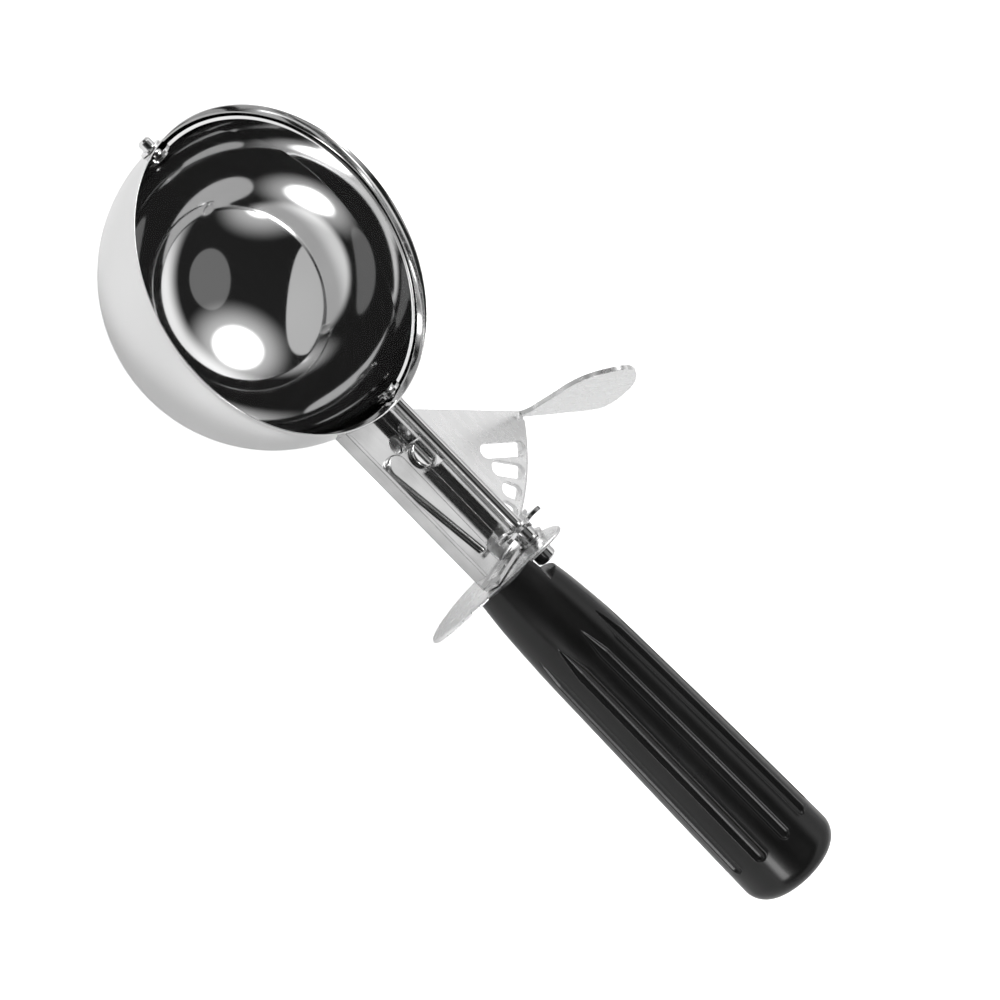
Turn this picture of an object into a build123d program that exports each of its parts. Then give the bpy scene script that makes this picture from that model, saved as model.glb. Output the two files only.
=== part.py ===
from build123d import *
import math
import os

# A lever ice cream scoop. Lengths are in millimetres and angles in degrees.
# The origin is the centre of the bowl's sphere, on the axis that the scraper blade turns about.
# +X runs along the drive shaft towards the handle, +Z rises out of the bowl,
# and +Y is the side that the thumb lever stands on.

# Clearances
running_gap = 0.05
face_gap = 0.05
blade_gap = 0.4
wheel_gap = 0.5
window_gap = 2.1
relief_gap = 0.4
hook_gap = 0.1

# Bowl
bowl_radius = 39.9
bowl_wall = 1.0
rim_rise = 4.4
rim_rounding = 0.2
bead_height = 1.3
bead_reach = 0.4

# Scraper blade, a strip of a sphere from pole to pole
blade_thickness = 0.8
blade_top = 1.9
blade_depth = 6.6
blade_end_depth = 3.0
ear_radius = 3.5

# Pin and washer at the blade's far end
far_pin_radius = 1.65
far_pin_proud = 3.0
far_pin_chamfer = 0.5
pin_head_radius = 2.5
pin_head_height = 0.7
far_washer_radius = 2.8
far_washer_thickness = 0.6

# Drive shaft, star wheel and journal
shaft_radius = 1.7
stub_width = 2.0
shaft_seat_depth = 4.2
wheel_set_back = 3.2
wheel_width = 1.6
tooth_count = 6
tooth_reach = 0.9
tooth_pitch_depth = 0.27
tooth_base_radius = 2.6
tooth_tip_half_width = 0.45
tooth_base_half_width = 1.1
tooth_tip_rounding = 0.35
wheel_root_radius = 3.2
journal_radius = 2.6
journal_length = 9.8
journal_chamfer = 0.5

# Channel frame between the bowl and the guard
sheet = 1.0
channel_length = 46.5
channel_shaft_gap = 0.5
channel_width = 15.5
channel_depth = 4.6
channel_bend = 1.2
far_wall_set_back = 3.6
end_flange_inset = 1.0
end_flange_set_back = 1.8
wheel_window_depth = 6.0
wheel_window_rounding = 2.0
floor_hole_radius = 2.2
floor_hole_from_pivot = (-6.1, -3.6)

# Raised rib along the channel's floor
rib_from_bowl = 11.4
rib_length = 28.0
rib_start_offset = -1.05
rib_end_offset = 0.75
rib_start_half_width = 3.1
rib_end_half_width = 1.0
rib_height = 1.4
rib_wall = 0.8
rib_rounding = 0.6

# Lever pivot
pivot_from_bowl = 14.4
pivot_shank_radius = 2.2
pivot_head_radius = 3.6
pivot_head_height = 1.2
pivot_head_rounding = 0.5
pivot_foot_radius = 3.9
pivot_foot_height = 1.1
pivot_lug_radius = 4.3
pivot_notch_gap = 0.5
shim_thickness = 0.25
washer_thickness = 0.4
washer_radius = 4.2

# Thumb lever: a slotted sector with a turned down edge and an upright thumb ear
lever_sheet = 1.2
sector_margin = 2.9
sector_growth = 4.5
sector_arc_centre = (-22.5, -4.7)
sector_hub_radius = 11.4
sector_low_angle = -8.0
sector_high_angle = 62.0
sector_edge_angle = 47.3
sector_flange_depth = 3.1
sector_bend = 1.1
slot_width = 2.9
slot_lengths = (7.2, 7.6, 8.5, 10.9, 13.4)
slot_depth = 2.3
ear_angle = 50.0
ear_sheet = 1.1
ear_root_back = 7.0
ear_root_front = 0.7
ear_root_width = 2.4
ear_foot_height = 3.4
ear_neck_height = 25.2
ear_neck_lean = -1.8
ear_tip_reach = 4.9
ear_tip_height = 32.1
ear_outer_curve = ((15.0, 25.7), (20.1, 17.0), (22.6, 7.2))
ear_heel = ((21.2, 3.8), (13.7, 2.0), (8.0, 1.4))

# Return spring round the pivot
wire_radius = 0.4
wire_end_radius = 0.42
spring_radius = 3.1
spring_turns = 2.5
spring_pitch = 0.95
spring_leg = 6.2

# Hand guard
guard_half_length = 20.0
guard_half_width = 9.3
guard_turn = 49.0
guard_side = 10.4
guard_drop = 7.5
guard_dish_radius = 120.0
guard_edge_rounding = 0.3
bushing_wall = 0.7
bushing_flange = 0.4
bushing_flange_thickness = 0.6
bushing_length = 2.0

# Handle and tang
handle_side = 9.6
handle_drop = 2.6
handle_length = 103.1
handle_end_rounding = 5.5
handle_front_stations = ((-1.5, 8.6), (11.5, 10.2), (25.5, 11.2), (45.0, 11.75), (74.5, 12.45))
handle_end_radius = 13.0
handle_tail = 7.0
flute_count = 10
flute_first_angle = 8.0
flute_from_guard = 20.1
flute_end_margin = 12.0
flute_start_surface = 10.95
flute_end_surface = 12.9
flute_radius = 1.55
flute_depth = 0.8
flute_point_length = 7.0
tang_width = 8.0
tang_thickness = 1.8
tang_length = 63.6

# Places that follow from the sizes above
bowl_inner = bowl_radius - bowl_wall
blade_outer = bowl_inner - blade_gap
blade_inner = blade_outer - blade_thickness
channel_end = bowl_radius + channel_length
wheel_end = channel_end - wheel_set_back
wheel_start = wheel_end - wheel_width
shaft_end = wheel_end + shaft_seat_depth
journal_end = wheel_end + journal_length
channel_side = -shaft_radius - channel_shaft_gap
channel_middle = channel_side - channel_width / 2
channel_far_side = channel_side - channel_width
shaft_wall_end = wheel_start - wheel_gap
floor_bottom = -channel_depth
floor_top = floor_bottom + sheet
rib_start = bowl_radius + rib_from_bowl
rib_start_y = channel_middle + rib_start_offset
rib_end_y = channel_middle + rib_end_offset
pivot_x = bowl_radius + pivot_from_bowl
pivot_y = channel_side
lever_top = floor_bottom - shim_thickness - face_gap
lever_bottom = lever_top - lever_sheet
tooth_tip_radius = tooth_reach - lever_bottom
pitch_radius = tooth_pitch_depth - lever_top
wheel_distance = math.hypot((wheel_start + wheel_end) / 2 - pivot_x, pivot_y)
sector_radius = wheel_end - pivot_x + sector_margin
sector_corner_radius = sector_radius + sector_growth
sector_edge_length = math.sqrt(sector_corner_radius ** 2 - sector_hub_radius ** 2)
slot_first_angle = math.degrees(math.asin(-pivot_y / wheel_distance))
slot_pitch_angle = 360 / tooth_count * pitch_radius / wheel_distance
washer_top = lever_bottom - face_gap
washer_bottom = washer_top - washer_thickness
spring_top = washer_bottom - 2 * face_gap
spring_height = spring_turns * spring_pitch
spring_bottom = spring_top - spring_height - 2 * wire_radius
foot_top = spring_bottom - face_gap
guard_y = -guard_side
guard_z = -guard_drop
handle_y = -handle_side
handle_z = -handle_drop
flute_length = handle_length - flute_from_guard - flute_end_margin
tang_end = channel_end + tang_length
guard_centre_x = channel_end + guard_dish_radius
guard_far_radius = guard_dish_radius - sheet
bushing_outer = journal_radius + running_gap + bushing_wall


def rod(radius, start, end, y=0.0, z=0.0):
    return Pos((start + end) / 2, y, z) * Rot(0, 90, 0) * Cylinder(radius, end - start)


def post(radius, bottom, top, x=pivot_x, y=pivot_y):
    return Pos(x, y, (bottom + top) / 2) * Cylinder(radius, top - bottom)


def block(low, high):
    size = [high[i] - low[i] for i in range(3)]
    return Pos(*[(high[i] + low[i]) / 2 for i in range(3)]) * Box(*size)


def polar(radius, angle):
    return radius * math.cos(math.radians(angle)), radius * math.sin(math.radians(angle))


def seat_on_sphere(sphere_radius, head_radius):
    # Distance from the centre at which a flat head touches the inside of a sphere
    return math.sqrt(sphere_radius ** 2 - head_radius ** 2)


def bowl_section():
    # Half of the wall's section: a straight rim above a quarter of the sphere
    outer = CenterArc((0, 0), bowl_radius, -90, 90)
    inner = CenterArc((0, 0), bowl_inner, -90, 90)
    bead_edge = bowl_radius + bead_reach
    bead_bottom = rim_rise - bead_height
    rim = Polyline(
        (bowl_radius, 0), (bowl_radius, bead_bottom - bead_reach), (bead_edge, bead_bottom),
        (bead_edge, rim_rise), (bowl_inner, rim_rise), (bowl_inner, 0)
    )
    return make_face([outer, rim, inner, Line((0, -bowl_inner), (0, -bowl_radius))])


def make_bowl():
    section = bowl_section()
    section = fillet(section.vertices().group_by(Axis.Y)[-1], rim_rounding)
    bowl = revolve(Plane.XZ * section, Axis.Z)
    bowl -= rod(shaft_radius + running_gap, bowl_inner - bowl_wall, bowl_radius + bowl_wall)
    bowl -= rod(far_pin_radius + running_gap, -bowl_radius - bowl_wall, -bowl_inner + bowl_wall)
    return bowl


def make_blade():
    # The strip lies against the +Y side of the bowl, a little below its rim
    lower = ThreePointArc(
        (-blade_outer, -blade_end_depth), (0, -blade_depth), (blade_outer, -blade_end_depth)
    )
    upper = Polyline(
        (blade_outer, -blade_end_depth), (blade_outer, blade_top), (-blade_outer, blade_top),
        (-blade_outer, -blade_end_depth)
    )
    strip = extrude(Plane.XZ * make_face([lower, upper]), -blade_outer)
    ears = rod(ear_radius, -blade_outer, blade_outer)
    blade = (Sphere(blade_outer) - Sphere(blade_inner)) & (strip + ears)
    blade -= block((0, -stub_width / 2, -stub_width / 2), (blade_outer, stub_width / 2, stub_width / 2))
    blade -= rod(far_pin_radius, -blade_outer, 0)
    return blade


def make_far_pin():
    head_face = -seat_on_sphere(blade_inner, pin_head_radius)
    tip = -bowl_radius - far_pin_proud
    stem = rod(far_pin_radius, tip, head_face)
    stem = chamfer(stem.edges().group_by(Axis.X)[0], far_pin_chamfer)
    return stem + rod(pin_head_radius, head_face, head_face + pin_head_height)


def make_far_washer():
    face = -bowl_radius - face_gap
    washer = rod(far_washer_radius, face - far_washer_thickness, face)
    return washer - rod(far_pin_radius, face - far_washer_thickness, face)


def make_shaft():
    shoulder = seat_on_sphere(blade_outer, stub_width / 2)
    head_face = seat_on_sphere(blade_inner, pin_head_radius)
    half = stub_width / 2
    shaft = rod(shaft_radius, shoulder, shaft_end)
    shaft += block((head_face, -half, -half), (shoulder, half, half))
    return shaft + rod(pin_head_radius, head_face - pin_head_height, head_face)


def make_star_wheel():
    # The first tooth points straight down into the lever's slot
    points = [
        (tooth_base_radius, -tooth_base_half_width), (tooth_tip_radius, -tooth_tip_half_width),
        (tooth_tip_radius, tooth_tip_half_width), (tooth_base_radius, tooth_base_half_width)
    ]
    tooth = make_face(Polyline(*points, close=True))
    tooth = fillet(tooth.vertices().group_by(Axis.X)[-1], tooth_tip_rounding)
    wheel = Circle(wheel_root_radius)
    for index in range(tooth_count):
        wheel += Rot(0, 0, -90 + index * 360 / tooth_count) * tooth
    wheel -= Circle(shaft_radius)
    plane = Plane(origin=(wheel_start, 0, 0), x_dir=(0, 1, 0), z_dir=(1, 0, 0))
    return extrude(plane * wheel, wheel_width)


def make_journal():
    journal = rod(journal_radius, wheel_end, journal_end)
    journal = chamfer(journal.edges().group_by(Axis.X)[-1], journal_chamfer)
    return journal - rod(shaft_radius, wheel_end, shaft_end)


def rib_outline(inset):
    end_x = rib_start + rib_length
    start_half = rib_start_half_width - inset
    end_half = rib_end_half_width - inset
    taper = make_face(Polyline(
        (rib_start, rib_start_y - start_half), (end_x, rib_end_y - end_half),
        (end_x, rib_end_y + end_half), (rib_start, rib_start_y + start_half), close=True
    ))
    return taper + Pos(rib_start, rib_start_y) * Circle(start_half) + Pos(end_x, rib_end_y) * Circle(end_half)


def make_channel():
    start = seat_on_sphere(bowl_radius, abs(channel_far_side)) - bowl_wall
    flange_start = channel_end - sheet
    shell = block((start, channel_far_side, floor_bottom), (channel_end, channel_side, 0))
    lower_edges = shell.edges().filter_by(Axis.X).group_by(Axis.Z)[0]
    shell = fillet(lower_edges, channel_bend)
    shell -= block(
        (start, channel_far_side + sheet, floor_top), (flange_start, channel_side - sheet, 0)
    )
    # The wall beside the shaft stops short of the star wheel, and the far wall short of the guard
    shell -= block((shaft_wall_end, channel_side - sheet, floor_top), (channel_end, channel_side, 0))
    shell -= block(
        (channel_end - far_wall_set_back, channel_far_side, floor_top),
        (flange_start, channel_far_side + sheet, 0)
    )
    shell -= block(
        (flange_start, channel_side - end_flange_set_back, floor_bottom),
        (channel_end, channel_side, 0)
    )
    shell -= block(
        (flange_start, channel_far_side, floor_bottom),
        (channel_end, channel_far_side + end_flange_inset, 0)
    )
    # Lug and notch for the pivot rivet
    shell += post(pivot_lug_radius, floor_bottom, floor_top)
    notch = pivot_head_radius + pivot_notch_gap
    shell -= block(
        (pivot_x - notch, channel_side - sheet, floor_top), (pivot_x + notch, channel_side, 0)
    )
    shell += make_rib()
    shell -= extrude(Pos(0, 0, floor_bottom) * rib_outline(rib_wall), rib_height)
    shell -= post(pivot_shank_radius, floor_bottom, floor_top)
    hole_x, hole_y = floor_hole_from_pivot
    shell -= post(floor_hole_radius, floor_bottom, floor_top, pivot_x + hole_x, pivot_y + hole_y)
    shell -= make_wheel_window()
    shell -= tang_bar(flange_start, channel_end)
    return shell - Sphere(bowl_radius)


def make_rib():
    rib = extrude(Pos(0, 0, floor_top - sheet / 2) * rib_outline(0), rib_height + sheet / 2)
    top_edges = rib.edges().group_by(Axis.Z)[-1]
    return fillet(top_edges, rib_rounding)


def make_wheel_window():
    low_y = channel_side - wheel_window_depth
    high_y = channel_side
    window = block(
        (wheel_start - window_gap, low_y, floor_bottom), (wheel_end + window_gap, high_y, floor_top)
    )
    corners = window.edges().filter_by(Axis.Z).group_by(Axis.Y)[0]
    return fillet(corners, wheel_window_rounding)


def make_pivot_rivet():
    head = post(pivot_head_radius, floor_top, floor_top + pivot_head_height)
    head = fillet(head.edges().group_by(Axis.Z)[-1], pivot_head_rounding)
    foot = post(pivot_foot_radius, foot_top - pivot_foot_height, foot_top)
    foot = fillet(foot.edges().group_by(Axis.Z)[0], pivot_head_rounding)
    foot -= post(
        wire_end_radius + running_gap, foot_top - pivot_foot_height, foot_top, pivot_x + spring_radius, pivot_y
    )
    return head + post(pivot_shank_radius, foot_top, floor_top) + foot


def make_shim():
    shim = post(pivot_lug_radius, floor_bottom - shim_thickness, floor_bottom)
    return shim - post(pivot_shank_radius, floor_bottom - shim_thickness, floor_bottom)


def make_pivot_washer():
    washer = post(washer_radius, washer_bottom, washer_top)
    return washer - post(pivot_shank_radius, washer_bottom, washer_top)


def make_lever():
    lever = Pos(pivot_x, pivot_y, 0) * (sector_plate() + thumb_ear())
    hook_x, hook_y = spring_hook_place()
    lever -= post(wire_end_radius + hook_gap, lever_bottom, lever_top, hook_x, hook_y)
    return lever - post(pivot_shank_radius + running_gap, lever_bottom, lever_top)


def sector_corner():
    # The far end of the sector's straight edge, where the thumb ear is bent up
    tangent = polar(sector_hub_radius, sector_edge_angle + 90)
    along = polar(sector_edge_length, sector_edge_angle)
    return tangent[0] + along[0], tangent[1] + along[1]


def sector_plate():
    edge_start = polar(sector_hub_radius, sector_edge_angle + 90)
    corner = sector_corner()
    arc_low = polar(sector_radius, sector_low_angle)
    arc_radius = math.dist(arc_low, sector_arc_centre)
    low_tangent = polar(sector_hub_radius, sector_low_angle - 90)
    reach = 2 * arc_radius
    outline = [
        Polyline(
            edge_start, corner, polar(reach, sector_high_angle), polar(reach, sector_low_angle), low_tangent
        ),
        ThreePointArc(low_tangent, (-sector_hub_radius, 0), edge_start)
    ]
    outer = Pos(*sector_arc_centre) * Circle(arc_radius)
    inner = Pos(*sector_arc_centre) * Circle(arc_radius - lever_sheet)
    face = make_face(outline) & outer
    plate = extrude(Pos(0, 0, lever_bottom) * face, lever_sheet)
    # The outer edge is turned down
    plate += extrude(Pos(0, 0, lever_top - sector_flange_depth) * (face - inner), sector_flange_depth)
    rim = [edge for edge in plate.edges().filter_by(GeomType.CIRCLE)
           if abs(edge.radius - arc_radius) < running_gap and abs(edge.center().Z - lever_top) < running_gap]
    plate = fillet(rim, sector_bend)
    for index, length in enumerate(slot_lengths):
        angle = slot_first_angle + index * slot_pitch_angle
        plate -= Rot(0, 0, angle) * slot_cutter(sector_radius - length)
    return plate


def slot_cutter(inner):
    half = slot_width / 2
    low = lever_top - slot_depth
    cutter = block((inner + half, -half, low), (sector_corner_radius, half, lever_top))
    return cutter + post(half, low, lever_top, inner + half, 0)


def thumb_ear():
    # The outline is drawn in distance outwards from the sector's corner and height above the plate's underside
    neck = Polyline(
        (-ear_root_back, 0), (-ear_root_back, lever_sheet), (0, ear_foot_height),
        (ear_neck_lean, ear_neck_height), (ear_tip_reach, ear_tip_height)
    )
    outer = Spline((ear_tip_reach, ear_tip_height), *ear_outer_curve)
    heel = Polyline(ear_outer_curve[-1], *ear_heel, (0, 0), (-ear_root_back, 0))
    corner = sector_corner()
    outwards = polar(1, ear_angle)
    plane = Plane(
        origin=(corner[0], corner[1], lever_bottom), x_dir=(outwards[0], outwards[1], 0),
        z_dir=(outwards[1], -outwards[0], 0)
    )
    ear = extrude(plane * make_face([neck, outer, heel]), ear_sheet)
    root_middle = (ear_root_front - ear_root_back) / 2
    root = plane * Pos(root_middle, lever_sheet / 2, ear_root_width / 2) * Box(
        ear_root_front + ear_root_back, lever_sheet, ear_root_width
    )
    return ear + root


def spring_hook_place():
    # The coil's last turn leaves along its tangent, and the wire turns up at the end of that leg
    end_x, end_y = polar(spring_radius, 360 * spring_turns)
    along_x, along_y = polar(spring_leg, 360 * spring_turns + 90)
    return pivot_x + end_x + along_x, pivot_y + end_y + along_y


def make_spring():
    # The coil's foot sits in the rivet, and its upper leg hooks into the sector
    path = Pos(pivot_x, pivot_y, spring_bottom + wire_radius) * Helix(spring_pitch, spring_height, spring_radius)
    section = Plane(origin=path @ 0, z_dir=path % 0) * Circle(wire_radius)
    coil = sweep(section, path=path, is_frenet=True)
    foot = post(
        wire_end_radius, foot_top - pivot_foot_height / 2, spring_bottom + wire_radius * 2,
        pivot_x + spring_radius, pivot_y
    )
    leg_start = path @ 1
    hook_x, hook_y = spring_hook_place()
    leg_end = Vector(hook_x, hook_y, leg_start.Z)
    leg_direction = (leg_end - leg_start).normalized()
    leg_length = spring_leg + wire_radius * 2
    leg = Plane(origin=(leg_start + leg_end) * 0.5, z_dir=leg_direction) * Cylinder(wire_end_radius, leg_length)
    hook = post(wire_radius, leg_end.Z, lever_top - lever_sheet / 2, hook_x, hook_y)
    return coil + leg + foot + hook


def tang_bar(start, end):
    return block(
        (start, handle_y - tang_width / 2, floor_top), (end, handle_y + tang_width / 2, floor_top + tang_thickness)
    )


def make_tang():
    tang = tang_bar(channel_end - sheet, tang_end)
    return chamfer(tang.edges().filter_by(Axis.Z).group_by(Axis.X)[-1], tang_thickness)


def make_guard():
    centre = Pos(guard_centre_x, guard_y, guard_z)
    shell = centre * (Sphere(guard_dish_radius) - Sphere(guard_far_radius))
    plane = Plane(origin=(channel_end - sheet, guard_y, guard_z), x_dir=(0, 1, 0), z_dir=(1, 0, 0))
    outline = plane * Rot(0, 0, guard_turn) * Ellipse(guard_half_length, guard_half_width)
    oval = extrude(outline, guard_half_length)
    guard = shell & oval
    guard = fillet(guard.edges(), guard_edge_rounding)
    guard -= rod(bushing_outer, channel_end - sheet, journal_end)
    return guard - tang_bar(channel_end - sheet, tang_end)


def bushing_flange_end():
    # The guard's near face is closest to the bowl where the flange comes nearest to the dish's middle
    nearest = math.hypot(guard_y, guard_z) - bushing_outer - bushing_flange
    return guard_centre_x - math.sqrt(guard_dish_radius ** 2 - nearest ** 2)


def make_bushing():
    face = bushing_flange_end()
    bushing = rod(bushing_outer + bushing_flange, face - bushing_flange_thickness, face)
    bushing += rod(bushing_outer, face, face + bushing_length)
    return bushing - rod(journal_radius + running_gap, face - bushing_flange_thickness, face + bushing_length)


def handle_body():
    # Turned about its own axis, with x counted from the guard
    tail = (handle_length - handle_tail, handle_end_radius)
    side = Spline(*handle_front_stations, tail)
    start_x, start_radius = handle_front_stations[0]
    rest = Polyline(
        tail, (handle_length, handle_end_radius), (handle_length, 0), (start_x, 0), (start_x, start_radius)
    )
    body = revolve(make_face([side, rest]), Axis.X)
    return fillet(body.edges().group_by(Axis.X)[-1], handle_end_rounding)


def flute_cutter():
    # A round-ended cutter, pointed towards the guard, that runs at a constant depth under the surface
    rise = flute_end_surface - flute_start_surface
    lean = math.degrees(math.atan2(rise, flute_length))
    straight = flute_length - flute_point_length - flute_radius
    cutter = rod(flute_radius, flute_point_length, flute_point_length + straight)
    cutter += Pos(flute_point_length + straight, 0, 0) * Sphere(flute_radius)
    point = Pos(flute_point_length / 2, 0, 0) * Rot(0, 90, 0) * Cone(
        flute_radius - flute_depth, flute_radius, flute_point_length
    )
    surface = flute_start_surface + flute_radius - flute_depth
    return Pos(flute_from_guard, 0, surface) * Rot(0, -lean, 0) * (cutter + point)


def make_handle():
    body = handle_body()
    cutter = flute_cutter()
    for index in range(flute_count):
        angle = flute_first_angle + index * 360 / flute_count
        body -= Rot(angle - 90, 0, 0) * cutter
    body = Pos(channel_end, handle_y, handle_z) * body
    body &= Pos(guard_centre_x, guard_y, guard_z) * Sphere(guard_far_radius)
    body -= rod(bushing_outer + relief_gap, channel_end - sheet, journal_end + relief_gap)
    return body - make_tang()


pieces = {
    "bowl": make_bowl,
    "scraper_blade": make_blade,
    "far_pivot_pin": make_far_pin,
    "far_pin_washer": make_far_washer,
    "drive_shaft": make_shaft,
    "star_wheel": make_star_wheel,
    "shaft_journal": make_journal,
    "channel_frame": make_channel,
    "pivot_rivet": make_pivot_rivet,
    "pivot_shim": make_shim,
    "pivot_washer": make_pivot_washer,
    "thumb_lever": make_lever,
    "return_spring": make_spring,
    "handle_tang": make_tang,
    "hand_guard": make_guard,
    "guard_bushing": make_bushing,
    "handle_grip": make_handle,
}

os.makedirs("parts", exist_ok=True)
for name, make in pieces.items():
    export_step(make(), f"parts/{name}.step")
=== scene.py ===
import bpy
import bmesh
import math
from mathutils import Matrix, Vector


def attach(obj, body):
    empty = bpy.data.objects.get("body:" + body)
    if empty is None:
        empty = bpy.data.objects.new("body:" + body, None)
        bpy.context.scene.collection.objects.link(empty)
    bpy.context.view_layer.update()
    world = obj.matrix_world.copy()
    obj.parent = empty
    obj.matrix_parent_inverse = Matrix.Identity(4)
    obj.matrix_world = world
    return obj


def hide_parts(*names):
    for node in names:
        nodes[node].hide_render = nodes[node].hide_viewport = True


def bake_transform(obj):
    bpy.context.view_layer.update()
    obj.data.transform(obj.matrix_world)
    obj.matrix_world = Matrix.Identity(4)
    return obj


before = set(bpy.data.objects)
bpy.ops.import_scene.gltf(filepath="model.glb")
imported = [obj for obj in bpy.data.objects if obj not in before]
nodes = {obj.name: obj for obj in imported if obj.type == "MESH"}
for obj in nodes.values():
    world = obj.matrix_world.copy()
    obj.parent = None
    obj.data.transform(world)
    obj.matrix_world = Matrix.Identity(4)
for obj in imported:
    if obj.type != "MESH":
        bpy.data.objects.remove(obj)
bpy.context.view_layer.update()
scene = bpy.context.scene
mm = 0.001
print("stage: frame loaded")

camera = {
    # The view's right, its top, and the way from the scoop back to the camera
    "right": (0.6745, 0.4253, 0.6034),
    "up": (-0.6957, 0.6398, 0.3267),
    "back": (-0.2471, -0.6402, 0.7274),
    "place": (-177.0 * mm, -651.5 * mm, 742.5 * mm),
    "lens": 158.5, "sensor": 36.0, "near": 0.05, "far": 20.0,
}


def makeCamera():
    data = bpy.data.cameras.new("camera")
    data.lens = camera["lens"]
    data.sensor_width = camera["sensor"]
    data.clip_start = camera["near"]
    data.clip_end = camera["far"]
    eye = bpy.data.objects.new("camera", data)
    scene.collection.objects.link(eye)
    turn = Matrix((camera["right"], camera["up"], camera["back"])).transposed()
    eye.matrix_world = Matrix.Translation(camera["place"]) @ turn.to_4x4()
    scene.camera = eye


makeCamera()
print("stage: camera")


class Graph:
    # Adds nodes to a node tree. An input is named by its socket, or by its number as in i0.
    def __init__(self, tree):
        self.tree = tree

    def add(self, kind, settings=None, **inputs):
        node = self.tree.nodes.new(kind)
        for key, value in (settings or {}).items():
            setattr(node, key, value)
        for key, value in inputs.items():
            self.put(node, key, value)
        return node

    def put(self, node, key, value):
        socket = node.inputs[int(key[1:]) if key[1:].isdigit() else key]
        if isinstance(value, bpy.types.NodeSocket):
            self.tree.links.new(value, socket)
        elif isinstance(value, bpy.types.Node):
            self.tree.links.new(value.outputs[0], socket)
        else:
            socket.default_value = value

    def math(self, operation, first, second):
        return self.add("ShaderNodeMath", {"operation": operation}, i0=first, i1=second).outputs[0]

    def remap(self, value, low, high, newLow, newHigh):
        node = self.add("ShaderNodeMapRange", {"interpolation_type": "SMOOTHSTEP"}, Value=value)
        limits = {"From Min": low, "From Max": high, "To Min": newLow, "To Max": newHigh}
        for key, number in limits.items():
            node.inputs[key].default_value = number
        return node.outputs[0]

    def grey(self, shade):
        return self.add("ShaderNodeCombineColor", None, i0=shade, i1=shade, i2=shade)

    def noise(self, place, scale, detail, rough=0.5):
        node = self.add("ShaderNodeTexNoise", None, Vector=place, Scale=scale, Detail=detail,
                        Roughness=rough)
        return node.outputs["Fac"]

    def stretch(self, place, scale):
        return self.add("ShaderNodeMapping", None, Vector=place, Scale=scale).outputs[0]


def newMaterial(name):
    made = bpy.data.materials.new(name)
    made.use_nodes = True
    graph = Graph(made.node_tree)
    return made, graph, made.node_tree.nodes["Principled BSDF"]


# Values that all the steels share. Most of a noise's values lie between "from" and "to".
steelPattern = {"from": 0.3, "to": 0.7, "grainDetail": 4.0, "grainRough": 0.65, "cloudDetail": 2.0,
                "edgeSamples": 4}

# The grain's scale on each axis, the shade, the polish and the relief.
# "edge" rounds the shading of corners, in millimetres.
steels = {
    "mirrorSteel": {
        "grain": (60, 60, 900), "cloudScale": 25.0, "dark": 0.77, "light": 0.83, "edge": 0.15,
        "smooth": 0.035, "rough": 0.065, "bump": 0.03, "bumpDepth": 0.00001,
    },
    "polishedSteel": {
        "grain": (900, 120, 120), "cloudScale": 60.0, "dark": 0.72, "light": 0.84, "edge": 0.2,
        "smooth": 0.07, "rough": 0.13, "bump": 0.05, "bumpDepth": 0.00002,
    },
    "pressedSteel": {
        "grain": (60, 500, 500), "cloudScale": 90.0, "dark": 0.50, "light": 0.66, "edge": 0.35,
        "smooth": 0.10, "rough": 0.2, "bump": 0.05, "bumpDepth": 0.00002,
    },
    "satinSteel": {
        "grain": (150, 420, 420), "cloudScale": 40.0, "dark": 0.89, "light": 0.92, "edge": 0.25,
        "smooth": 0.25, "rough": 0.31, "bump": 0.02, "bumpDepth": 0.00001,
    },
    "springSteel": {
        "grain": (300, 300, 300), "cloudScale": 80.0, "dark": 0.5, "light": 0.62, "edge": 0.1,
        "smooth": 0.14, "rough": 0.24, "bump": 0.05, "bumpDepth": 0.00001,
    },
}


def makeSteel(name, look):
    # Stainless steel: a fine grain in the polish and the relief, and a cloudy shade
    made, graph, shader = newMaterial(name)
    low, high = steelPattern["from"], steelPattern["to"]
    place = graph.add("ShaderNodeTexCoord").outputs["Object"]
    grain = graph.noise(graph.stretch(place, look["grain"]), 1.0, steelPattern["grainDetail"],
                        steelPattern["grainRough"])
    cloud = graph.noise(place, look["cloudScale"], steelPattern["cloudDetail"])
    shade = graph.remap(cloud, low, high, look["dark"], look["light"])
    graph.put(shader, "Base Color", graph.grey(shade))
    shader.inputs["Metallic"].default_value = 1
    graph.put(shader, "Roughness", graph.remap(grain, low, high, look["smooth"], look["rough"]))
    rounded = graph.add("ShaderNodeBevel", {"samples": steelPattern["edgeSamples"]},
                        Radius=look["edge"] * mm)
    bump = graph.add("ShaderNodeBump", None, Height=grain, Strength=look["bump"],
                     Distance=look["bumpDepth"], Normal=rounded)
    graph.put(shader, "Normal", bump)
    return made


gripPaint = {
    "dark": 0.006, "light": 0.010, "cloudScale": 45.0, "cloudDetail": 3.0, "from": 0.3, "to": 0.7,
    "smooth": 0.19, "rough": 0.27, "scuffScale": (120, 900, 900), "scuffDetail": 5.0,
    "scuffRough": 0.7, "scuffFrom": 0.35, "scuffTo": 0.75,
    "gloss": 0.34, "grainScale": 2600.0, "grainDetail": 2.0, "bump": 0.12, "bumpDepth": 0.00004,
}


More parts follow.
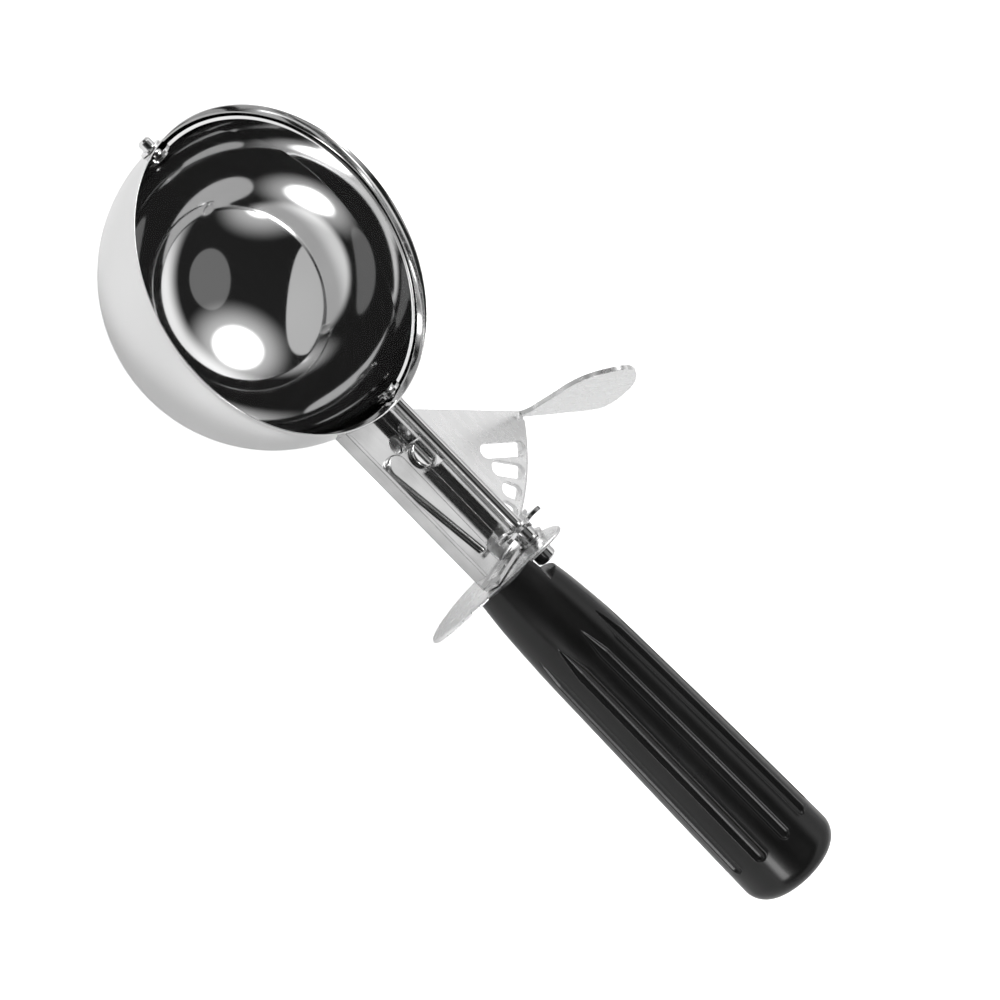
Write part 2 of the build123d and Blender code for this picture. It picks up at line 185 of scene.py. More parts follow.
def makeGripPaint(look):
    # Black plastic with a fine grain, and scuffs that run along the grip
    made, graph, shader = newMaterial("blackGrip")
    place = graph.add("ShaderNodeTexCoord").outputs["Object"]
    cloud = graph.noise(place, look["cloudScale"], look["cloudDetail"])
    scuff = graph.noise(graph.stretch(place, look["scuffScale"]), 1.0, look["scuffDetail"],
                        look["scuffRough"])
    grain = graph.noise(place, look["grainScale"], look["grainDetail"])
    tone = graph.remap(cloud, look["from"], look["to"], look["dark"], look["light"])
    graph.put(shader, "Base Color", graph.grey(tone))
    shader.inputs["Specular IOR Level"].default_value = look["gloss"]
    polish = graph.remap(scuff, look["scuffFrom"], look["scuffTo"], look["smooth"], look["rough"])
    graph.put(shader, "Roughness", polish)
    bump = graph.add("ShaderNodeBump", None, Height=grain, Strength=look["bump"],
                     Distance=look["bumpDepth"])
    graph.put(shader, "Normal", bump)
    return made


paints = {name: makeSteel(name, look) for name, look in steels.items()}
paints["blackGrip"] = makeGripPaint(gripPaint)

paintOf = {
    "bowl": "mirrorSteel", "scraper_blade": "mirrorSteel",
    "far_pivot_pin": "polishedSteel", "far_pin_washer": "polishedSteel",
    "drive_shaft": "polishedSteel", "star_wheel": "polishedSteel",
    "shaft_journal": "polishedSteel", "pivot_rivet": "polishedSteel",
    "guard_bushing": "polishedSteel", "channel_frame": "pressedSteel",
    "pivot_shim": "satinSteel", "pivot_washer": "satinSteel", "thumb_lever": "satinSteel",
    "hand_guard": "satinSteel", "handle_tang": "satinSteel",
    "return_spring": "springSteel", "handle_grip": "blackGrip",
}
for name, node in nodes.items():
    node.data.materials.clear()
    node.data.materials.append(paints[paintOf[name]])
print("stage: materials")


# Lengths in the dictionaries below are in millimetres, and angles in degrees
mergeGap = 1e-7
curveMergeGap = 1e-6
rodSteps = 64
softSegments = 2


def finishPiece(name, mesh, paint, body, replaced, sharpAngle):
    bmesh.ops.remove_doubles(mesh, verts=mesh.verts, dist=mergeGap)
    bmesh.ops.recalc_face_normals(mesh, faces=mesh.faces)
    for face in mesh.faces:
        face.smooth = True
    limit = math.radians(sharpAngle)
    for edge in mesh.edges:
        edge.smooth = len(edge.link_faces) == 2 and edge.calc_face_angle() < limit
    data = bpy.data.meshes.new(name)
    mesh.to_mesh(data)
    mesh.free()
    data.materials.append(paints[paint])
    piece = bpy.data.objects.new(name, data)
    scene.collection.objects.link(piece)
    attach(piece, body)
    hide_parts(*replaced)
    return piece


def lathe(profile, axis, steps):
    # Spins an open profile of (distance along the axis, radius) once round X or Z
    mesh = bmesh.new()
    along = Vector((1, 0, 0)) if axis == "x" else Vector((0, 0, 1))
    out = Vector((0, 0, 1)) if axis == "x" else Vector((1, 0, 0))
    corners = [mesh.verts.new((along * reach + out * radius) * mm) for reach, radius in profile]
    edges = [mesh.edges.new(pair) for pair in zip(corners, corners[1:])]
    bmesh.ops.spin(mesh, geom=corners + edges, cent=(0, 0, 0), axis=along, dvec=(0, 0, 0),
                   angle=2 * math.pi, steps=steps, use_merge=True)
    bmesh.ops.remove_doubles(mesh, verts=mesh.verts, dist=mergeGap)
    return mesh


def onCircle(radius, degrees):
    turn = math.radians(degrees)
    return Vector((radius * math.cos(turn), radius * math.sin(turn)))


def arc(centre, radius, start, end, count):
    angles = [math.radians(start + (end - start) * step / count) for step in range(count + 1)]
    return [(centre[0] + radius * math.cos(a), centre[1] + radius * math.sin(a)) for a in angles]


def halfCircle(centre, radius, start, count):
    return [centre + onCircle(radius, start + 180 * index / count) for index in range(count + 1)]


def closedRing(mesh, points):
    # A closed row of edges through the points
    corners = [mesh.verts.new(Vector(point) * mm) for point in points]
    return [mesh.edges.new(pair) for pair in zip(corners, corners[1:] + corners[:1])]


def skin(mesh, rings):
    # Joins each ring to the next and closes both ends
    for first, second in zip(rings, rings[1:]):
        bmesh.ops.bridge_loops(mesh, edges=first + second)
    for ring in (rings[0], rings[-1]):
        bmesh.ops.edgeloop_fill(mesh, edges=ring)


def loose(name, mesh):
    # A helper shape, to join to a piece or to cut out of it
    data = bpy.data.meshes.new(name)
    bmesh.ops.recalc_face_normals(mesh, faces=mesh.faces)
    mesh.to_mesh(data)
    mesh.free()
    made = bpy.data.objects.new(name, data)
    scene.collection.objects.link(made)
    return made


def drawnOut(name, corners, push):
    # A flat outline drawn out along a straight line
    mesh = bmesh.new()
    face = mesh.faces.new([mesh.verts.new(Vector(corner) * mm) for corner in corners])
    grown = bmesh.ops.extrude_face_region(mesh, geom=[face])
    moved = [item for item in grown["geom"] if isinstance(item, bmesh.types.BMVert)]
    bmesh.ops.translate(mesh, vec=[step * mm for step in push], verts=moved)
    return loose(name, mesh)


def settle(piece):
    # Makes the modifiers' result the piece's own mesh
    bpy.context.view_layer.update()
    seen = piece.evaluated_get(bpy.context.evaluated_depsgraph_get())
    made = bpy.data.meshes.new_from_object(seen)
    piece.modifiers.clear()
    piece.data = made


def combine(piece, operation, others):
    # Joins the helper shapes to the piece or cuts them out of it, and removes them
    for other in others:
        modifier = piece.modifiers.new("combine", "BOOLEAN")
        modifier.operation = operation
        modifier.solver = "EXACT"
        modifier.object = other
    settle(piece)
    for other in others:
        bpy.data.objects.remove(other)


def soften(piece, width, limit):
    # Rounds the edges that turn by more than the limit, and hands the mesh on
    modifier = piece.modifiers.new("soft", "BEVEL")
    modifier.width = width * mm
    modifier.segments = softSegments
    modifier.limit_method = "ANGLE"
    modifier.angle_limit = math.radians(limit)
    settle(piece)
    mesh = bmesh.new()
    mesh.from_mesh(piece.data)
    bpy.data.objects.remove(piece)
    return mesh


def rodCutter(radius, start, end):
    # A rod on the shaft's axis
    profile = [(start, 0), (start, radius), (end, radius), (end, 0)]
    return loose("cutter", lathe(profile, "x", rodSteps))


def boxCutter(low, high):
    mesh = bmesh.new()
    bmesh.ops.create_cube(mesh, size=1)
    low, high = Vector(low), Vector(high)
    bmesh.ops.scale(mesh, vec=(high - low) * mm, verts=mesh.verts)
    bmesh.ops.translate(mesh, vec=(high + low) / 2 * mm, verts=mesh.verts)
    return loose("cutter", mesh)


bowl = {
    "radius": 39.9, "wall": 1.0, "rim": 4.4, "steps": 288, "arcSteps": 96,
    # How far the rim flares, from which height, and how late the flare sets in
    "flare": 0.4, "flareFrom": 2.4, "flareCurve": 1.5,
    # The lip's thickness and how far it turns over, and where its inner slope leaves the wall
    "edge": 0.3, "lipTurn": 155, "lipSteps": 14, "slopeFrom": 1.7, "slopeCurve": 0.92,
}


def makeBowl():
    outer, inner = bowl["radius"], bowl["radius"] - bowl["wall"]
    edge, top, start = outer + bowl["flare"], bowl["rim"], bowl["flareFrom"]
    lip, foot = bowl["edge"] / 2, bowl["slopeFrom"]
    # The profile is (height, radius): up the outside, over the thin lip and down the inside
    profile = [(z, r) for r, z in arc((0, 0), outer, -90, 0, bowl["arcSteps"])]
    profile += [(start * step / 3, outer) for step in (1, 2, 3)]
    profile += [(start + (top - lip - start) * share,
                 outer + bowl["flare"] * share ** bowl["flareCurve"])
                for share in (0.25, 0.5, 0.75)]
    profile += [(z, r) for r, z in arc((edge - lip, top - lip), lip, 0, bowl["lipTurn"],
                                       bowl["lipSteps"])]
    low, high = (foot, inner), profile[-1]
    profile += [(high[0] + (low[0] - high[0]) * share,
                 high[1] + (low[1] - high[1]) * share ** bowl["slopeCurve"])
                for share in (0.2, 0.4, 0.6, 0.8, 1.0)]
    profile += [(foot * step / 3, inner) for step in (2, 1)]
    profile += [(z, r) for r, z in arc((0, 0), inner, 0, -90, bowl["arcSteps"])]
    mesh = lathe(profile, "z", bowl["steps"])
    finishPiece("mirrorBowl", mesh, "mirrorSteel", "frame", ["bowl"],
                sharpAngle=50)


makeBowl()
print("stage: bowl")

# The slot for the tang, which runs through the guard and into the grip
tangSlot = {"start": 80.0, "y": (-13.6, -5.6), "z": (-3.6, -1.8)}


def tangCutter(end):
    (left, right), (bottom, top) = tangSlot["y"], tangSlot["z"]
    return boxCutter((tangSlot["start"], left, bottom), (end, right, top))


handle = {
    "front": 86.4, "y": -9.6, "z": -2.6, "length": 103.1, "rounding": 5.5, "buttSteps": 18,
    # Radii along the grip
    "stations": ((0.9, 8.75), (11.5, 10.2), (25.5, 11.2), (45.0, 11.75), (74.5, 12.45),
                 (103.1, 13.0)),
    # How far the grip's line leaves its axis, along the direction in "lean"
    "sway": ((0.9, -3.2), (14.0, -1.0), (28.0, 0.3), (56.0, 1.3), (87.0, 2.0), (103.1, 2.2)),
    "lean": (0.176, 0.151),
    "flutes": 10, "firstAngle": 8.0, "fluteStart": 20.1, "fluteEnd": 91.1, "fluteHalf": 1.5,
    "fluteDepth": 0.85, "fluteCurve": 2.6, "lipWidth": 0.45, "lipHeight": 0.06,
    # The flute's pointed front: its length, and how its width and depth grow along it
    "flutePoint": 8.0, "pointWidth": 0.8, "pointDepth": 0.6,
    # Rings of points stand closer together here, measured from the flutes' start and from their end
    "fineStart": (-1.5, 8.5), "fineEnd": (-2.5, 0.7), "ringCounts": (24, 40, 40, 26, 6),
    # Points across each flute and between two flutes
    "acrossSteps": 22, "betweenSteps": 5,
    # Room for the journal's end: round it, and out through the front of the grip
    "cutFrom": 80.0, "reliefEnd": 93.8, "reliefRadius": 3.75,
    "trench": {"radius": 2.9, "towards": (-0.66, 0.75), "length": 12.0, "steps": 24},
    "tangEnd": 150.0,
}


def between(table, value):
    # Smooth reading of a short table of (position, value)
    places = [place for place, _ in table]
    if value <= places[0]:
        return table[0][1]
    for (low, first), (high, second) in zip(table, table[1:]):
        if value <= high:
            index = places.index(low)
            before = table[max(index - 1, 0)]
            after = table[min(index + 2, len(table) - 1)]
            slopeLow = (second - before[1]) / (high - before[0])
            slopeHigh = (after[1] - first) / (after[0] - low)
            span = high - low
            t = (value - low) / span
            return ((2 * t ** 3 - 3 * t ** 2 + 1) * first
                    + (t ** 3 - 2 * t ** 2 + t) * span * slopeLow
                    + (3 * t ** 2 - 2 * t ** 3) * second
                    + (t ** 3 - t ** 2) * span * slopeHigh)
    return table[-1][1]


def fluteDip(along, across):
    # Depth of the flute at a distance along the grip and across the flute's middle
    start, end, half = handle["fluteStart"], handle["fluteEnd"], handle["fluteHalf"]
    if along <= start or along >= end:
        return 0.0
    width = half * min(1.0, ((along - start) / handle["flutePoint"]) ** handle["pointWidth"])
    if along > end - half:
        width = half * math.sqrt(max(0.0, 1 - ((along - end + half) / half) ** 2))
    share = width / half
    if share < 0.02:  # too narrow to show
        return 0.0
    ratio = abs(across) / width
    if ratio < 1:
        depth = handle["fluteDepth"] * share ** handle["pointDepth"]
        return depth * (1 - ratio ** handle["fluteCurve"])
    lip = (abs(across) - width) / handle["lipWidth"]
    return -handle["lipHeight"] * share * math.sin(math.pi * min(lip, 1.0))


def trenchCutter(trench, start, end):
    # A rod's shape drawn out sideways from the shaft's axis
    towards = trench["towards"]
    out = math.degrees(math.atan2(towards[1], towards[0]))
    far = Vector(towards).normalized() * trench["length"]
    outline = halfCircle(Vector((0, 0)), trench["radius"], out + 90, trench["steps"])
    outline += halfCircle(far, trench["radius"], out - 90, trench["steps"])
    return drawnOut("cutter", [(start, *point) for point in outline], (end - start, 0, 0))


def makeHandle():
    length, soft, count = handle["length"], handle["rounding"], handle["flutes"]
    marks = [handle["stations"][0][0]]
    marks += [handle["fluteStart"] + step for step in handle["fineStart"]]
    marks += [handle["fluteEnd"] + step for step in handle["fineEnd"]]
    marks.append(length - soft)
    stops = []
    for start, end, rings in zip(marks, marks[1:], handle["ringCounts"]):
        stops += [(start + (end - start) * index / rings, 0.0) for index in range(rings)]
    stops += [(length - soft + y, soft - x)
              for x, y in arc((0, 0), soft, 0, 90, handle["buttSteps"])]
    # Points lie closer together across each flute than between flutes
    wide, fine = handle["fluteHalf"] + handle["lipWidth"], handle["acrossSteps"]
    inside = [-wide + 2 * wide * index / fine for index in range(fine + 1)]
    mesh = bmesh.new()
    rings = []
    for along, dent in stops:
        radius = between(handle["stations"], along) - dent
        sway = between(handle["sway"], along)
        middle = Vector((handle["front"] + along, handle["y"] + handle["lean"][0] * sway,
                         handle["z"] + handle["lean"][1] * sway))
        turns = [across / radius for across in inside]
        gap = 2 * math.pi / count - turns[-1] + turns[0]
        turns += [turns[-1] + gap * index / handle["betweenSteps"]
                  for index in range(1, handle["betweenSteps"])]
        points = []
        for flute in range(count):
            centre = math.radians(handle["firstAngle"]) + flute * 2 * math.pi / count
            for turn in turns:
                reach = radius - fluteDip(along, turn * radius)
                out = Vector((0, math.cos(centre + turn), math.sin(centre + turn)))
                points.append(middle + out * reach)
        rings.append(closedRing(mesh, points))
    skin(mesh, rings)
    piece = finishPiece("flutedGrip", mesh, "blackGrip", "frame", ["handle_grip"],
                        sharpAngle=60)
    start, end = handle["cutFrom"], handle["reliefEnd"]
    combine(piece, "DIFFERENCE", [rodCutter(handle["reliefRadius"], start, end),
                                  trenchCutter(handle["trench"], start, end),
                                  tangCutter(handle["tangEnd"])])


makeHandle()
print("stage: handle")

guard = {
    # The oval's middle on the guard's face, its half widths, and how far it is turned
    "face": 86.4, "y": -10.4, "z": -7.5, "long": 20.0, "short": 9.3, "turn": 49.0,
    # Radius of the dishing, and the sheet's thickness
    "dish": 120.0, "sheet": 1.0,
    "rings": 14, "steps": 160, "rimSteps": 10,
    # The journal's bore, and how far along it and the tang's slot are cut
    "boreRadius": 3.35, "boreStart": 80.0, "boreEnd": 95.0,
}


def makeGuard():
    half, dish = guard["sheet"] / 2, guard["dish"]
    turn = math.radians(guard["turn"])
    shares = [index / guard["rings"] for index in range(1, guard["rings"])]
    # Each stop is (share of the half widths, inset at the rim, offset from the sheet's middle)
    stops = [(share, 0.0, -half) for share in shares]
    stops += [(1.0, half - x, y) for x, y in arc((0, 0), half, -90, 90, guard["rimSteps"])]
    stops += [(share, 0.0, half) for share in reversed(shares)]
    mesh = bmesh.new()
    rings = []
    for share, inset, offset in stops:
        wide, narrow = guard["long"] * share - inset, guard["short"] * share - inset
        points = []
        for index in range(guard["steps"]):
            angle = 2 * math.pi * index / guard["steps"]
            along, across = wide * math.cos(angle), narrow * math.sin(angle)
            y = along * math.cos(turn) - across * math.sin(turn)
            z = along * math.sin(turn) + across * math.cos(turn)
            x = guard["face"] + half + offset + (y * y + z * z) / (2 * dish)
            points.append((x, guard["y"] + y, guard["z"] + z))
        rings.append(closedRing(mesh, points))
    skin(mesh, rings)
    piece = finishPiece("dishedGuard", mesh, "satinSteel", "frame", ["hand_guard"],
                        sharpAngle=50)
    bore = rodCutter(guard["boreRadius"], guard["boreStart"], guard["boreEnd"])
    combine(piece, "DIFFERENCE", [bore, tangCutter(guard["boreEnd"])])


makeGuard()
print("stage: guard")

lever = {
    # The arc's centre, the hub, the corner and the hook's hole are measured from the pivot
    "pivot": (54.3, -2.2), "top": -4.9, "sheet": 1.2, "radius": 31.8, "low": -8.0, "high": 62.0,
    "arcCentre": (-22.5, -4.7), "hub": 11.4, "edgeAngle": 47.3, "corner": 36.3,
    "bore": 2.25, "hook": (-3.1, -6.2), "hookBore": 0.52, "boreSteps": 48, "boreDepth": 20.0,
    # The turned-down rim: bend radius, depth, the small bevel inside the bend, and how far
    # the rim laps over the plate and the plate runs into the bend
    "bend": 1.1, "flange": 3.1, "innerBevel": 0.15, "lap": 0.3, "intoBend": 0.02,
    "slotWidth": 3.9, "slotDepth": 2.3, "slotFirst": 6.9, "slotPitch": 11.005, "slotMargin": 1.25,
    "slotSteps": 20, "slotAbove": 1.0,
    # Where each slot starts, from the pivot
    "slots": (24.6, 24.5, 24.3, 21.4, 18.9),
    "arcSteps": 60, "hubSteps": 40, "bendSteps": 8, "soft": 0.18, "softLimit": 50,
}
ear = {
    "angle": 50.0, "sheet": 1.1, "curveSteps": 12,
    # Distance outwards from the sector's corner and height above the plate's underside
    "outline": ((-3.6, 0.2), (-3.3, 1.0), (-1.5, 1.2), (-0.4, 2.6), (-0.45, 8.0), (-1.1, 15.5),
                (-1.6, 22.0), (-0.5, 26.6), (2.6, 30.0), (6.6, 32.05), (10.8, 30.4), (15.4, 25.4),
                (18.6, 20.4), (21.2, 13.5), (22.5, 7.4), (22.1, 4.7), (19.6, 3.3), (13.7, 2.1),
                (8.0, 1.3), (2.0, 0.4)),
}


def sheetCurve(name, points, thickness):
    # A smooth closed outline, filled and thickened; its middle plane is z = 0
    data = bpy.data.curves.new(name, "CURVE")
    data.dimensions = "2D"
    data.fill_mode = "BOTH"
    data.resolution_u = ear["curveSteps"]
    data.extrude = thickness / 2 * mm
    spline = data.splines.new("BEZIER")
    spline.bezier_points.add(len(points) - 1)
    spline.use_cyclic_u = True
    for knot, (x, y) in zip(spline.bezier_points, points):
        knot.co = (x * mm, y * mm, 0)
        knot.handle_left_type = knot.handle_right_type = "AUTO"
    curve = bpy.data.objects.new(name, data)
    scene.collection.objects.link(curve)
    bpy.context.view_layer.update()
    seen = curve.evaluated_get(bpy.context.evaluated_depsgraph_get())
    made = bpy.data.meshes.new_from_object(seen)
    bpy.data.objects.remove(curve)
    mesh = bmesh.new()
    mesh.from_mesh(made)
    bmesh.ops.remove_doubles(mesh, verts=mesh.verts, dist=curveMergeGap)
    return mesh


def arcRadius():
    return (onCircle(lever["radius"], lever["low"]) - Vector(lever["arcCentre"])).length


def onArc(degrees, inset):
    # Where the ray from the pivot meets the outer arc
    centre = Vector(lever["arcCentre"])
    ray = onCircle(1, degrees)
    along = ray.dot(centre)
    reach = math.sqrt(along ** 2 - centre.length_squared + (arcRadius() - inset) ** 2)
    return ray * (along + reach)


def sectorCorner():
    # The outer end of the straight edge, which touches the hub's circle
    start = onCircle(lever["hub"], lever["edgeAngle"] + 90)
    run = math.sqrt(lever["corner"] ** 2 - lever["hub"] ** 2)
    return start, start + onCircle(run, lever["edgeAngle"])


def sectorPlate():
    low, high, hub = lever["low"], lever["high"], lever["hub"]
    outline = [*sectorCorner()]
    outline += [onArc(high - (high - low) * index / lever["arcSteps"],
                      lever["bend"] - lever["intoBend"]) for index in range(lever["arcSteps"] + 1)]
    # Back round the hub, from the arc's low end to the straight edge
    around = 180 - lever["edgeAngle"] + low
    outline += [onCircle(hub, low - 90 - around * index / lever["hubSteps"])
                for index in range(lever["hubSteps"])]
    return drawnOut("plate", [(*point, lever["top"]) for point in outline], (0, 0, -lever["sheet"]))


def turnedRim():
    # The sector's turned-down edge, a section spun about the arc's centre
    centre, outer = Vector(lever["arcCentre"]), arcRadius()
    top, bend, sheet, bevel = lever["top"], lever["bend"], lever["sheet"], lever["innerBevel"]
    foot, inside = top - lever["flange"], outer - bend - lever["lap"]
    section = [(inside, top), (outer - bend, top)]
    section += [(outer - bend + bend * math.sin(a), top - bend + bend * math.cos(a))
                for a in [math.pi / 2 * index / lever["bendSteps"]
                          for index in range(1, lever["bendSteps"] + 1)]]
    section += [(outer, foot), (outer - sheet, foot), (outer - sheet, top - sheet - bevel),
                (outer - sheet - bevel, top - sheet), (inside, top - sheet)]
    first, last = onArc(lever["low"], 0) - centre, onArc(lever["high"], 0) - centre
    start, end = math.atan2(first.y, first.x), math.atan2(last.y, last.x)
    ray = Vector((math.cos(start), math.sin(start), 0))
    base = Vector((*centre, 0))
    mesh = bmesh.new()
    face = mesh.faces.new([mesh.verts.new((base + ray * reach + Vector((0, 0, z))) * mm)
                           for reach, z in section])
    bmesh.ops.spin(mesh, geom=[face, *face.edges, *face.verts], cent=base * mm, axis=(0, 0, 1),
                   dvec=(0, 0, 0), angle=end - start, steps=lever["arcSteps"], use_merge=False)
    return loose("rim", mesh)


def slotCutter(degrees, inner):
    half, low = lever["slotWidth"] / 2, lever["top"] - lever["slotDepth"]
    outer = onArc(degrees, 0).length - lever["slotMargin"]
    outline = halfCircle(Vector((outer - half, 0)), half, -90, lever["slotSteps"])
    outline += halfCircle(Vector((inner + half, 0)), half, 90, lever["slotSteps"])
    turn = Matrix.Rotation(math.radians(degrees), 2)
    corners = [(*(turn @ point), low) for point in outline]
    return drawnOut("cutter", corners, (0, 0, lever["slotDepth"] + lever["slotAbove"]))


def boreCutter(radius, x, y):
    mesh = bmesh.new()
    bmesh.ops.create_cone(mesh, cap_ends=True, segments=lever["boreSteps"], radius1=radius * mm,
                          radius2=radius * mm, depth=lever["boreDepth"] * mm)
    bmesh.ops.translate(mesh, vec=(x * mm, y * mm, lever["top"] * mm), verts=mesh.verts)
    return loose("cutter", mesh)


def thumbEar():
    # The upright paddle, standing on the sector's corner
    mesh = sheetCurve("ear", ear["outline"], ear["sheet"])
    outwards = onCircle(1, ear["angle"])
    across = Vector((outwards.y, -outwards.x, 0))
    turn = Matrix((Vector((*outwards, 0)), Vector((0, 0, 1)), across)).transposed().to_4x4()
    corner = sectorCorner()[1]
    place = Vector((*corner, lever["top"] - lever["sheet"])) + across * ear["sheet"] / 2
    bmesh.ops.transform(mesh, matrix=Matrix.Translation(place * mm) @ turn, verts=mesh.verts)
    return loose("paddle", mesh)


def makeLever():
    plate = sectorPlate()
    combine(plate, "UNION", [turnedRim(), thumbEar()])
    cutters = [slotCutter(lever["slotFirst"] + index * lever["slotPitch"], start)
               for index, start in enumerate(lever["slots"])]
    cutters += [boreCutter(lever["bore"], 0, 0), boreCutter(lever["hookBore"], *lever["hook"])]
    combine(plate, "DIFFERENCE", cutters)
    mesh = soften(plate, lever["soft"], lever["softLimit"])
    x, y = lever["pivot"]
    bmesh.ops.translate(mesh, vec=(x * mm, y * mm, 0), verts=mesh.verts)
    finishPiece("thumbSector", mesh, "satinSteel", "lever", ["thumb_lever"],
                sharpAngle=14)


makeLever()
print("stage: lever")

wheel = {
    "start": 81.9, "end": 82.9, "teeth": 6, "turn": 13.0,
    # The collar on the disc, and the bore, which is cut a little past both ends
    "collar": 2.9, "collarEnd": 83.2, "collarFront": 0.3, "bore": 1.72, "borePast": 2.0,
    # One tooth, as (distance from the shaft's axis, angle from the tooth's middle)
    "tooth": ((3.3, -27.0), (3.6, -15.0), (4.6, -6.5), (5.8, -2.0), (6.75, 3.5), (6.98, 6.5),
              (6.6, 7.6), (5.7, 7.2), (4.7, 9.0), (3.8, 15.0), (3.4, 22.0)),
    "soft": 0.12, "softLimit": 40,
}


def makeWheel():
    start, end, past = wheel["start"], wheel["end"], wheel["borePast"]
    outline = []
    for tooth in range(wheel["teeth"]):
        middle = -90 + wheel["turn"] + tooth * 360 / wheel["teeth"]
        outline += [onCircle(radius, middle + degrees) for radius, degrees in wheel["tooth"]]
    disc = drawnOut("disc", [(start, *point) for point in outline], (end - start, 0, 0))
    collar = rodCutter(wheel["collar"], start - wheel["collarFront"], wheel["collarEnd"])
    combine(disc, "UNION", [collar])
    bore = rodCutter(wheel["bore"], start - past, wheel["collarEnd"] + past)
    combine(disc, "DIFFERENCE", [bore])
    mesh = soften(disc, wheel["soft"], wheel["softLimit"])
    finishPiece("hookedWheel", mesh, "polishedSteel", "shaft", ["star_wheel"],
                sharpAngle=14)


makeWheel()
print("stage: wheel")


def makeSpring():
    # A smooth-shaded copy of the return spring, which takes the place of the part
    mesh = bmesh.new()
    mesh.from_mesh(nodes["return_spring"].data)
    bmesh.ops.remove_doubles(mesh, verts=mesh.verts, dist=curveMergeGap)
    for face in mesh.faces:
        face.smooth = True
    data = bpy.data.meshes.new("woundSpring")
    mesh.to_mesh(data)
    mesh.free()
    data.materials.append(paints["springSteel"])
    piece = bpy.data.objects.new("woundSpring", data)
    scene.collection.objects.link(piece)
    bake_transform(piece)
    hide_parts("return_spring")


makeSpring()
print("stage: spring")

room = {
    # The floor: how far below the bowl's centre in mm, its side in metres, its shade,
    # and its glow to the camera and in gloss
    "floorDrop": 40.6, "floorSize": 6.0, "floorShade": 0.9, "floorRough": 0.9,
    "cameraLift": 0.7, "glossLift": 0.05,
    # The world: its light on the scoop, and what gloss sees, paler between two heights
    "soft": 0.5, "low": 0.55, "high": 1.0, "paleFrom": 0.45, "paleTo": 0.75,
    # A dark cone in the gloss, and the limits that it fades in between
    "dark": 0.016, "darkFrom": 0.13, "darkTo": 0.34,
}


def makeFloor():
    mesh = bmesh.new()
    bmesh.ops.create_grid(mesh, x_segments=1, y_segments=1, size=room["floorSize"] / 2)
    data = bpy.data.meshes.new("floor")
    mesh.to_mesh(data)
    mesh.free()
    floor = bpy.data.objects.new("floor", data)
    floor.location = (0, 0, -room["floorDrop"] * mm)
    scene.collection.objects.link(floor)
    made, graph, shader = newMaterial("floorPaint")
    shader.inputs["Base Color"].default_value = (room["floorShade"],) * 3 + (1,)
    shader.inputs["Roughness"].default_value = room["floorRough"]
    shader.inputs["Specular IOR Level"].default_value = 0.0
    shader.inputs["Emission Color"].default_value = (1, 1, 1, 1)
    paths = graph.add("ShaderNodeLightPath").outputs
    seen = graph.math("MULTIPLY", paths["Is Camera Ray"], room["cameraLift"])
    mirrored = graph.math("MULTIPLY", paths["Is Glossy Ray"], room["glossLift"])
    graph.put(shader, "Emission Strength", graph.math("ADD", seen, mirrored))
    data.materials.append(made)


def makeWorld():
    world = bpy.data.worlds.new("world")
    scene.world = world
    world.use_nodes = True
    graph = Graph(world.node_tree)
    world.node_tree.nodes.clear()
    paths = graph.add("ShaderNodeLightPath").outputs
    direction = graph.add("ShaderNodeTexCoord").outputs["Generated"]
    facing = graph.add("ShaderNodeVectorMath", {"operation": "DOT_PRODUCT"}, i0=direction,
                       i1=camera["back"]).outputs["Value"]
    height = graph.add("ShaderNodeSeparateXYZ", None, Vector=direction).outputs["Z"]
    pale = graph.remap(height, room["paleFrom"], room["paleTo"], room["low"], room["high"])
    level = graph.remap(facing, room["darkFrom"], room["darkTo"], 1.0, 0.0)
    level = graph.math("MULTIPLY", level, pale)
    level = graph.math("MAXIMUM", level, room["dark"])
    plain = graph.add("ShaderNodeBackground", None, Strength=room["soft"])
    mirrored = graph.add("ShaderNodeBackground", None, Strength=level)
    seen = graph.add("ShaderNodeBackground", None, Strength=1.0)
    for back in (plain, mirrored, seen):
        back.inputs["Color"].default_value = (1, 1, 1, 1)
    first = graph.add("ShaderNodeMixShader", None, i0=paths["Is Glossy Ray"], i1=plain, i2=mirrored)
    last = graph.add("ShaderNodeMixShader", None, i0=paths["Is Camera Ray"], i1=first, i2=seen)
    graph.add("ShaderNodeOutputWorld", None, Surface=last)


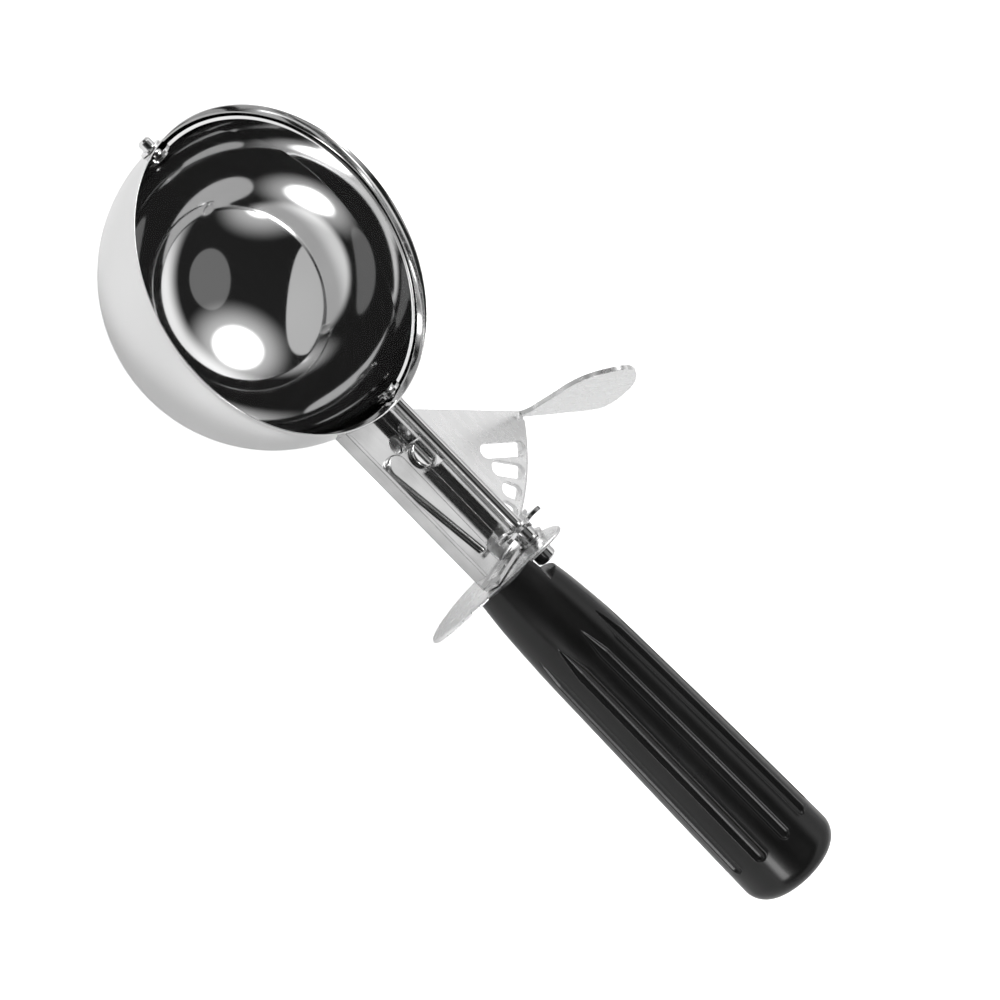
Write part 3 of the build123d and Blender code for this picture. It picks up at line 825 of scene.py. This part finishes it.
# Sizes and the distance are in metres. A lamp has a bright core and a halo, each fading out
# between two distances from its middle, as shares of its width.
lampDistance = 0.8
lamps = {
    "keyLamp": {
        "towards": (-0.37, 0.30, 0.86), "size": (1.15, 1.15),
        "core": 5.0, "coreAt": (0.10, 0.23), "halo": 0.75, "haloAt": (0.1, 0.5),
    },
    "sideLamp": {
        "towards": (0.50, -0.82, 0.24), "size": (1.05, 0.85),
        "core": 9.0, "coreAt": (0.03, 0.19), "halo": 0.6, "haloAt": (0.1, 0.5),
    },
    "paperLamp": {
        "towards": (-0.66, -0.58, 0.48), "size": (0.5, 1.35),
        "core": 0.52, "coreAt": (0.47, 0.5), "halo": 0.0, "haloAt": (0.1, 0.5),
    },
    "cardLamp": {
        "towards": (0.33, -0.10, 0.93), "size": (0.46, 0.60),
        "core": 0.15, "coreAt": (0.46, 0.5), "halo": 0.0, "haloAt": (0.1, 0.5),
    },
}


def makeLamp(name, lamp):
    data = bpy.data.lights.new(name, "AREA")
    data.shape = "ELLIPSE"
    data.size, data.size_y = lamp["size"]
    # With this power, a strength of 1 in the lamp's nodes looks white
    data.energy = math.pi ** 2 * data.size * data.size_y / 4
    data.use_nodes = True
    graph = Graph(data.node_tree)
    where = graph.add("ShaderNodeNewGeometry").outputs["Parametric"]
    away = graph.add("ShaderNodeVectorMath", {"operation": "DISTANCE"}, i0=where,
                     i1=(0.5, 0.5, 0.0)).outputs["Value"]
    core = graph.remap(away, *lamp["coreAt"], lamp["core"], 0.0)
    halo = graph.remap(away, *lamp["haloAt"], lamp["halo"], 0.0)
    graph.put(data.node_tree.nodes["Emission"], "Strength", graph.math("ADD", core, halo))
    source = bpy.data.objects.new(name, data)
    out = Vector(lamp["towards"]).normalized()
    up = Vector(camera["up"])
    up = (up - out * up.dot(out)).normalized()
    turn = Matrix((up.cross(out), up, out)).transposed()
    source.matrix_world = Matrix.Translation(out * lampDistance) @ turn.to_4x4()
    scene.collection.objects.link(source)


makeFloor()
makeWorld()
for name, lamp in lamps.items():
    makeLamp(name, lamp)
scene.view_settings.view_transform = "Standard"
print("stage: room")
